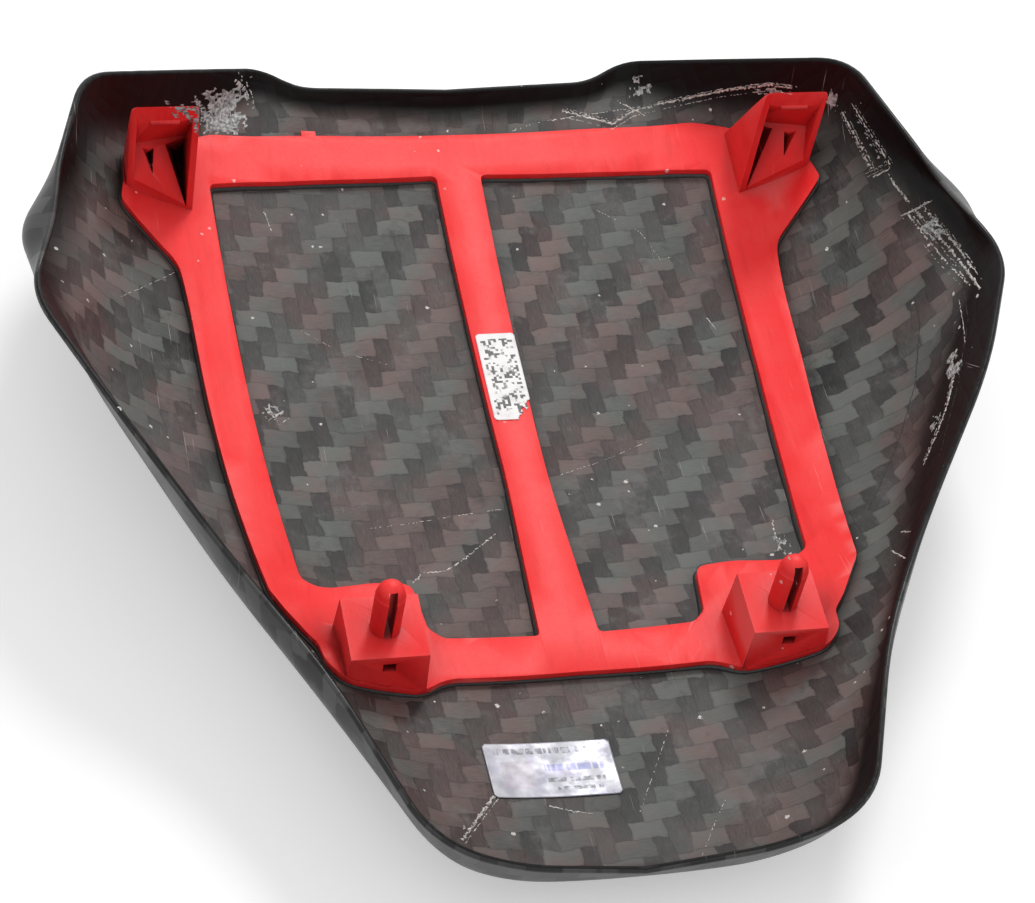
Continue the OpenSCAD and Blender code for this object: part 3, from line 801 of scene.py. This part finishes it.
def buildMouldGrain():
    # fine moulded grain with broad blotches, the way satin plastic varies
    group, d, into, out = newGroup("mouldGrain", [
        ("Vector", "NodeSocketVector", None), ("Size", "NodeSocketFloat", 1500.0)],
        [("Grain", "NodeSocketFloat"), ("Blotch", "NodeSocketFloat"), ("Flow", "NodeSocketFloat")])
    grain = d.put("ShaderNodeTexNoise")
    grain.inputs["Detail"].default_value = 4.0
    grain.inputs["Roughness"].default_value = 0.65
    d.wire(into.outputs["Vector"], grain.inputs["Vector"])
    d.wire(into.outputs["Size"], grain.inputs["Scale"])
    d.wire(grain.outputs["Fac"], out.inputs["Grain"])
    blotch = d.between(d.noise(into.outputs["Vector"], 60.0, 4.0, 0.6), 0.3, 0.7)
    d.wire(blotch, out.inputs["Blotch"])
    flow = d.noise(into.outputs["Vector"], 1.0, 3.0, 0.6, stretch=(340, 46, 120))
    d.wire(flow, out.inputs["Flow"])
    return group


twillWeave, dustScuff, mouldGrain = buildTwillWeave(), buildDustScuff(), buildMouldGrain()


def startMaterial(name):
    material = bpy.data.materials.new(name)
    material.use_nodes = True
    tree = material.node_tree
    tree.nodes.clear()
    d = nodeDesk(tree)
    shader = d.put("ShaderNodeBsdfPrincipled")
    output = d.put("ShaderNodeOutputMaterial")
    d.wire(shader.outputs[0], output.inputs[0])
    return material, d, shader


def placeGroup(d, group, vector, **values):
    node = d.put("ShaderNodeGroup", node_tree=group)
    d.wire(vector, node.inputs["Vector"])
    for key, value in values.items():
        node.inputs[key].default_value = value
    return node


def contactShade(d, reach, ownOnly):
    # 1 in hollows and close to neighbours, 0 on open faces
    node = d.put("ShaderNodeAmbientOcclusion", samples=1, only_local=ownOnly)
    node.inputs["Distance"].default_value = reach
    return d.sum("SUBTRACT", 1.0, node.outputs["AO"])


def bump(d, shader, height, strength, distance):
    node = d.put("ShaderNodeBump")
    node.inputs["Strength"].default_value = strength
    node.inputs["Distance"].default_value = distance
    d.wire(height, node.inputs["Height"])
    d.wire(node.outputs[0], shader.inputs["Normal"])


# carbon laminate, inside: matt and dusty on the floor; painted shade makes it near black on the
# walls and next to the frame
weaveSize = {"Across": 0.0048, "Along": 0.0055, "Turn": -0.045}
laminateLook = {
    # both tows are one fibre: painted reflection, rows catching the light and columns in shade
    "towInShade": (0.024, 0.020, 0.021, 1), "towCatchingLight": (0.165, 0.152, 0.146, 1),
    "wall": (0.0035, 0.0033, 0.0036, 1), "gap": (0.012, 0.011, 0.012, 1),
    "warm": (1.22, 0.96, 0.92, 1), "cool": (0.90, 1.06, 1.02, 1),
    "dust": (0.20, 0.195, 0.195, 1), "scuff": (0.62, 0.60, 0.57, 1),
    "deep": (0.014, 0.012, 0.013, 1), "haze": (0.19, 0.182, 0.178, 1),
    "reach": 0.011,  # how near a neighbour must be for the painted contact shade on the laminate
    # outer skin tows: the same painted reflection, lit rows and shaded columns of one fibre
    "skinTowInShade": (0.006, 0.006, 0.0065, 1), "skinTowCatchingLight": (0.060, 0.058, 0.058, 1),
    "skinGap": (0.004, 0.004, 0.0045, 1),
}


def makeLaminate(s):
    material, d, shader = startMaterial("carbonInside")
    uv = d.put("ShaderNodeUVMap", uv_map="weaveUv").outputs[0]
    place = d.put("ShaderNodeTexCoord").outputs["Object"]
    weave = placeGroup(d, twillWeave, uv, **weaveSize)
    dust = placeGroup(d, dustScuff, place, Amount=0.55, Speck=0.5)
    rise = d.put("ShaderNodeAttribute", attribute_name="rise").outputs["Fac"]
    # the weave is clear in places and hazy in others
    clear = d.between(d.noise(place, 16.0, 3.0, 0.6), 0.33, 0.62, 0.45, 1.0)
    offMiddle = d.sum("SUBTRACT", weave.outputs["Shade"], 0.5)
    shade = d.sum("ADD", d.sum("MULTIPLY", offMiddle, clear), 0.5)
    streak = d.sum("MULTIPLY", d.sum("SUBTRACT", weave.outputs["Fibre"], 0.5), 0.75)
    shade = d.sum("ADD", shade, streak)
    # painted reflection mixed with real tone: rows lit and columns in shade, each float fading
    # towards one end, plus a random tone per float and fibre streaks
    color = d.blendColor(d.between(shade, 0.0, 1.0), s["towInShade"], s["towCatchingLight"])
    drift = d.between(d.noise(place, 34.0, 3.0, 0.6), 0.4, 0.6)
    tint = d.blendColor(drift, s["warm"], s["cool"])
    color = d.blendColor(1.0, color, tint, "MULTIPLY")
    color = d.blendColor(d.sum("MULTIPLY", weave.outputs["Gap"], 0.32), color, s["gap"])
    small = d.sum("MULTIPLY", d.noise(place, 210.0, 5.0, 0.68), 0.6)
    broad = d.sum("MULTIPLY", d.noise(place, 48.0, 3.0, 0.6), 0.5)
    mottle = d.sum("ADD", small, broad)
    color = d.blendColor(d.between(mottle, 0.50, 0.30, 0.0, 0.62), color, s["deep"])
    color = d.blendColor(d.between(mottle, 0.56, 0.78, 0.0, 0.55), color, s["haze"])
    color = d.blendColor(d.sum("MULTIPLY", dust.outputs["Cloud"], 0.42), color, s["dust"])
    # painted shade: ambient occlusion darkens the laminate next to the frame and other neighbours
    near = d.between(contactShade(d, s["reach"], False), 0.10, 0.50, 0.0, 0.80)
    color = d.blendColor(near, color, s["wall"])
    # painted shade: the laminate is darkened to near black as it rises up the walls
    color = d.blendColor(d.between(rise, 0.03, 0.40), color, s["wall"])
    scratches = d.sum("MULTIPLY", dust.outputs["Scratches"], 0.55)
    marks = d.sum("MAXIMUM", dust.outputs["Specks"], scratches)
    color = d.blendColor(marks, color, s["scuff"])
    d.wire(color, shader.inputs["Base Color"])
    dusty = d.sum("MULTIPLY", dust.outputs["Cloud"], 0.2)
    rough = d.sum("ADD", d.between(rise, 0.03, 0.5, 0.52, 0.42), dusty)
    d.wire(rough, shader.inputs["Roughness"])
    shader.inputs["Specular IOR Level"].default_value = 0.18
    height = d.sum("ADD", weave.outputs["Height"], d.sum("MULTIPLY", weave.outputs["Fibre"], 0.25))
    bump(d, shader, height, 0.5, 0.00025)
    return material


def makeOuterSkin(s):
    material, d, shader = startMaterial("carbonOutside")
    uv = d.put("ShaderNodeUVMap", uv_map="weaveUv").outputs[0]
    place = d.put("ShaderNodeTexCoord").outputs["Object"]
    weave = placeGroup(d, twillWeave, uv, **weaveSize)
    dust = placeGroup(d, dustScuff, place, Amount=0.3, Speck=0.15)
    streak = d.sum("MULTIPLY", d.sum("SUBTRACT", weave.outputs["Fibre"], 0.5), 0.6)
    shade = d.sum("ADD", weave.outputs["Shade"], streak)
    # painted reflection: the skin weave's rows lit and columns in shade, with a random tone per
    # float and fibre streaks
    color = d.blendColor(d.between(shade, 0.1, 1.0), s["skinTowInShade"], s["skinTowCatchingLight"])
    color = d.blendColor(d.sum("MULTIPLY", weave.outputs["Gap"], 0.6), color, s["skinGap"])
    color = d.blendColor(d.sum("MULTIPLY", dust.outputs["Scratches"], 0.35), color, s["scuff"])
    d.wire(color, shader.inputs["Base Color"])
    rough = d.sum("ADD", d.sum("MULTIPLY", dust.outputs["Cloud"], 0.15), 0.40)
    d.wire(rough, shader.inputs["Roughness"])
    shader.inputs["Specular IOR Level"].default_value = 0.25
    shader.inputs["Coat Weight"].default_value = 0.12
    shader.inputs["Coat Roughness"].default_value = 0.2
    bump(d, shader, weave.outputs["Height"], 0.2, 0.0001)
    return material


dishShell.data.materials.append(makeLaminate(laminateLook))
dishShell.data.materials.append(makeOuterSkin(laminateLook))
dishShell.data.polygons.foreach_set("material_index", dishSkin)
dishShell.data.update()


# red moulding
mouldingLook = {
    "base": (1.0, 0.016, 0.018, 1), "deep": (0.80, 0.008, 0.010, 1),
    "pale": (1.0, 0.055, 0.052, 1), "creaseShade": (0.16, 0.012, 0.012, 1),
    "rubbed": (0.95, 0.42, 0.40, 1), "well": (0.006, 0.001, 0.001, 1),
    "reach": 0.012, "grainSize": 1500.0,
}


def makeMoulding(s):
    material, d, shader = startMaterial("redMoulding")
    place = d.put("ShaderNodeTexCoord").outputs["Object"]
    grain = placeGroup(d, mouldGrain, place, Size=s["grainSize"])
    dust = placeGroup(d, dustScuff, place, Amount=0.4, Speck=0.35)
    color = d.blendColor(d.sum("MULTIPLY", grain.outputs["Blotch"], 0.55), s["base"], s["pale"])
    color = d.blendColor(d.between(grain.outputs["Flow"], 0.5, 0.72, 0.0, 0.35), color, s["deep"])
    # edges rubbed paler; hollows darkened with painted shade
    geometry = d.put("ShaderNodeNewGeometry")
    edge = d.between(geometry.outputs["Pointiness"], 0.53, 0.62)
    color = d.blendColor(d.sum("MULTIPLY", edge, 0.22), color, s["rubbed"])
    hollow = d.between(geometry.outputs["Pointiness"], 0.47, 0.40)
    color = d.blendColor(d.sum("MULTIPLY", hollow, 0.45), color, s["creaseShade"])
    # painted shade: the moulding goes near black inside its wells and deep hollows
    near = d.between(contactShade(d, s["reach"], True), 0.62, 0.90)
    color = d.blendColor(near, color, s["well"])
    scratches = d.sum("MULTIPLY", dust.outputs["Scratches"], 0.35)
    marks = d.sum("MAXIMUM", dust.outputs["Specks"], scratches)
    color = d.blendColor(marks, color, s["rubbed"])
    d.wire(color, shader.inputs["Base Color"])
    rough = d.sum("ADD", d.sum("MULTIPLY", grain.outputs["Grain"], 0.18), 0.40)
    d.wire(rough, shader.inputs["Roughness"])
    shader.inputs["Specular IOR Level"].default_value = 0.4
    waves = d.sum("MULTIPLY", grain.outputs["Flow"], 1.4)
    bump(d, shader, d.sum("ADD", grain.outputs["Grain"], waves), 0.35, 0.00012)
    return material


bracketMoulding.data.materials.clear()
bracketMoulding.data.materials.append(makeMoulding(mouldingLook))


# stickers, bead, residue and scuffs
codeLook = {"cellsPerMetre": 1250.0, "inkShare": 0.44, "halfInk": (0.0047, 0.0142),
            "white": (0.86, 0.85, 0.84, 1), "soiled": (0.66, 0.63, 0.62, 1),
            "ink": (0.045, 0.042, 0.042, 1)}


def makeCodeFace(s):
    # random small blocks inside a white margin; they spell nothing
    material, d, shader = startMaterial("codeFace")
    place = d.put("ShaderNodeTexCoord").outputs["Object"]
    move = d.put("ShaderNodeMapping")
    cx, cy = codeSticker["centre"]
    move.inputs["Location"].default_value = (-cx * mm, -(cy + dishShape["shift"]) * mm, 0)
    d.wire(place, move.inputs["Vector"])
    split = d.put("ShaderNodeSeparateXYZ")
    d.wire(move.outputs[0], split.inputs[0])
    join = d.put("ShaderNodeCombineXYZ")
    for k in range(2):
        cell = d.sum("MULTIPLY", split.outputs[k], s["cellsPerMetre"])
        d.wire(d.sum("FLOOR", cell), join.inputs[k])
    white = d.put("ShaderNodeTexWhiteNoise", noise_dimensions="2D")
    d.wire(join.outputs[0], white.inputs["Vector"])
    block = d.sum("GREATER_THAN", white.outputs["Value"], 1.0 - s["inkShare"])
    marginX = d.sum("LESS_THAN", d.sum("ABSOLUTE", split.outputs[0]), s["halfInk"][0])
    marginY = d.sum("LESS_THAN", d.sum("ABSOLUTE", split.outputs[1]), s["halfInk"][1])
    worn = d.between(d.noise(place, 260.0, 3.0, 0.6), 0.40, 0.52)
    ink = d.sum("MULTIPLY", d.sum("MULTIPLY", block, worn), d.sum("MULTIPLY", marginX, marginY))
    soil = d.between(d.noise(place, 180.0, 4.0, 0.6), 0.45, 0.75)
    paper = d.blendColor(soil, s["white"], s["soiled"])
    color = d.blendColor(d.sum("MULTIPLY", ink, 0.92), paper, s["ink"])
    d.wire(color, shader.inputs["Base Color"])
    d.wire(d.sum("MULTIPLY_ADD", ink, 0.1, 0.45), shader.inputs["Roughness"])
    bump(d, shader, d.noise(place, 900.0, 3.0, 0.6), 0.15, 0.00005)
    return material


# bars: centre x and y, half width and half height, in mm from the middle of the sticker
dataLook = {
    "darkBars": [(-1.5, 6.2, 13.0, 0.95), (6.0, -3.4, 7.6, 0.7), (6.4, -6.2, 6.0, 0.6)],
    "blueBar": (6.2, 0.6, 8.0, 1.1), "oblong": (-9.2, -1.6, 4.2, 4.6), "softEdge": 0.15,
    "film": (0.44, 0.44, 0.47, 1), "filmDark": (0.27, 0.27, 0.32, 1),
    "violet": (0.36, 0.30, 0.44, 1), "brown": (0.30, 0.24, 0.28, 1),
    "blue": (0.10, 0.11, 0.32, 1), "grey": (0.05, 0.05, 0.06, 1),
}


def makeDataFace(s):
    # silvery film with a few plain bars and a bare oblong
    material, d, shader = startMaterial("dataFace")
    place = d.put("ShaderNodeTexCoord").outputs["Object"]
    move = d.put("ShaderNodeMapping", vector_type="TEXTURE")
    middleX, middleY = dataSticker["centre"]
    move.inputs["Location"].default_value = (middleX * mm, (middleY + dishShape["shift"]) * mm, 0)
    d.wire(place, move.inputs["Vector"])
    split = d.put("ShaderNodeSeparateXYZ")
    d.wire(move.outputs[0], split.inputs[0])
    x, y = split.outputs[0], split.outputs[1]

    def within(value, middle, half):
        away = d.sum("ABSOLUTE", d.sum("SUBTRACT", value, middle * mm))
        return d.between(away, (half + s["softEdge"]) * mm, (half - s["softEdge"]) * mm)

    def bar(cx, cy, hx, hy):
        return d.sum("MULTIPLY", within(x, cx, hx), within(y, cy, hy))

    dark = bar(*s["darkBars"][0])
    for row in s["darkBars"][1:]:
        dark = d.sum("MAXIMUM", dark, bar(*row))
    worn = d.between(d.noise(place, 420.0, 3.0, 0.7), 0.36, 0.56)
    broken = d.between(d.noise(place, 1.0, 2.0, 0.5, stretch=(900, 60, 1)), 0.42, 0.50)
    dark = d.sum("MULTIPLY", d.sum("MULTIPLY", dark, worn), broken)
    blue = d.sum("MULTIPLY", bar(*s["blueBar"]), broken)
    cloudy = d.between(d.noise(place, 120.0, 4.0, 0.6), 0.35, 0.7)
    film = d.blendColor(cloudy, s["film"], s["filmDark"])
    sheen = d.between(d.noise(place, 300.0, 2.0, 0.6), 0.5, 0.75, 0.0, 0.35)
    film = d.blendColor(sheen, film, s["violet"])
    film = d.blendColor(d.sum("MULTIPLY", bar(*s["oblong"]), 0.35), film, s["brown"])
    film = d.blendColor(d.sum("MULTIPLY", blue, 0.6), film, s["blue"])
    film = d.blendColor(d.sum("MULTIPLY", dark, 0.75), film, s["grey"])
    d.wire(film, shader.inputs["Base Color"])
    shader.inputs["Metallic"].default_value = 0.25
    rough = d.between(d.noise(place, 200.0, 3.0, 0.6), 0.3, 0.7, 0.32, 0.5)
    d.wire(rough, shader.inputs["Roughness"])
    bump(d, shader, d.noise(place, 700.0, 3.0, 0.6), 0.2, 0.00006)
    return material


# pale colour, dark colour and roughness of each grainy finish
crustLooks = {
    "residueCrust": ((0.58, 0.60, 0.59, 1), (0.14, 0.14, 0.14, 1), 0.62),
    "scuffPale": ((0.80, 0.77, 0.72, 1), (0.30, 0.29, 0.27, 1), 0.7),
    "plyDark": ((0.030, 0.026, 0.026, 1), (0.012, 0.011, 0.011, 1), 0.5),
    "bondLineAndShadowBlack": ((0.020, 0.018, 0.018, 1), (0.006, 0.006, 0.006, 1), 0.45),
}


def makeCrust(name):
    pale, dark, rough = crustLooks[name]
    material, d, shader = startMaterial(name)
    place = d.put("ShaderNodeTexCoord").outputs["Object"]
    grain = placeGroup(d, mouldGrain, place, Size=900.0)
    color = d.blendColor(d.between(grain.outputs["Grain"], 0.36, 0.66), dark, pale)
    d.wire(color, shader.inputs["Base Color"])
    d.wire(d.sum("MULTIPLY_ADD", grain.outputs["Blotch"], 0.15, rough), shader.inputs["Roughness"])
    bump(d, shader, grain.outputs["Grain"], 0.5, 0.0002)
    return material


codePatch.data.materials.append(makeCodeFace(codeLook))
dataPatch.data.materials.append(makeDataFace(dataLook))
glueResidue.data.materials.append(makeCrust("residueCrust"))
surfaceScuffs.data.materials.append(makeCrust("scuffPale"))
plyLines.data.materials.append(makeCrust("plyDark"))
# black bead: part adhesive bond line, part painted shadow
bondLineAndShadowBead.data.materials.append(makeCrust("bondLineAndShadowBlack"))
print("materials made")


# floor and light
stageLook = {
    "half": 1.6, "low": -0.0003,  # just under the lowest point of the dish
    "floor": (0.80, 0.80, 0.80, 1), "glow": 0.34, "world": 0.60,
    "keyPlace": (0.35, 0.85, 1.05), "keySize": 0.35, "key": 8.0,
    "fillPlace": (-0.4, -0.5, 1.2), "fillSize": 0.9, "fill": 2.0,
    "target": (0, 0, 0.02),
}


def seenDirectly(d):
    # 1 for camera rays and for rays that metal or glass send on, 0 for light on the object
    path = d.put("ShaderNodeLightPath")
    mirrored = d.sum("MAXIMUM", path.outputs["Is Glossy Ray"], path.outputs["Is Transmission Ray"])
    return d.sum("MAXIMUM", path.outputs["Is Camera Ray"], mirrored)


def makeStage(s):
    h, low = s["half"], s["low"]
    points = np.array([(-h, -h, low), (h, -h, low), (h, h, low), (-h, h, low)], dtype=float)
    mesh = bpy.data.meshes.new("floorSheet")
    mesh.from_pydata(points.tolist(), [], [(0, 1, 2, 3)])
    sheet = bpy.data.objects.new("floorSheet", mesh)
    scene.collection.objects.link(sheet)
    material = bpy.data.materials.new("floorWhite")
    material.use_nodes = True
    tree = material.node_tree
    tree.nodes.clear()
    d = nodeDesk(tree)
    matt = d.put("ShaderNodeBsdfDiffuse")
    matt.inputs["Color"].default_value = s["floor"]
    glow = d.put("ShaderNodeEmission")
    d.wire(d.sum("MULTIPLY", seenDirectly(d), s["glow"]), glow.inputs["Strength"])
    both = d.put("ShaderNodeAddShader")
    d.wire(matt.outputs[0], both.inputs[0])
    d.wire(glow.outputs[0], both.inputs[1])
    output = d.put("ShaderNodeOutputMaterial")
    d.wire(both.outputs[0], output.inputs[0])
    mesh.materials.append(material)
    world = bpy.data.worlds.new("studioWorld")
    world.use_nodes = True
    tree = world.node_tree
    tree.nodes.clear()
    d = nodeDesk(tree)
    sky = d.put("ShaderNodeBackground")
    sky.inputs["Color"].default_value = (1.0, 1.0, 1.0, 1)
    strength = d.sum("MULTIPLY_ADD", seenDirectly(d), 1.0 - s["world"], s["world"])
    d.wire(strength, sky.inputs["Strength"])
    output = d.put("ShaderNodeOutputWorld")
    d.wire(sky.outputs[0], output.inputs[0])
    scene.world = world


def makeLamp(name, place, target, size, power):
    data = bpy.data.lights.new(name, "AREA")
    data.shape = "DISK"
    data.size = size
    data.energy = power
    lamp = bpy.data.objects.new(name, data)
    scene.collection.objects.link(lamp)
    lamp.location = place
    lamp.rotation_euler = (Vector(target) - Vector(place)).to_track_quat("-Z", "Y").to_euler()


makeStage(stageLook)
for kind in ("key", "fill"):
    makeLamp(kind + "Lamp", stageLook[kind + "Place"], stageLook["target"],
             stageLook[kind + "Size"], stageLook[kind])
print("stage made")
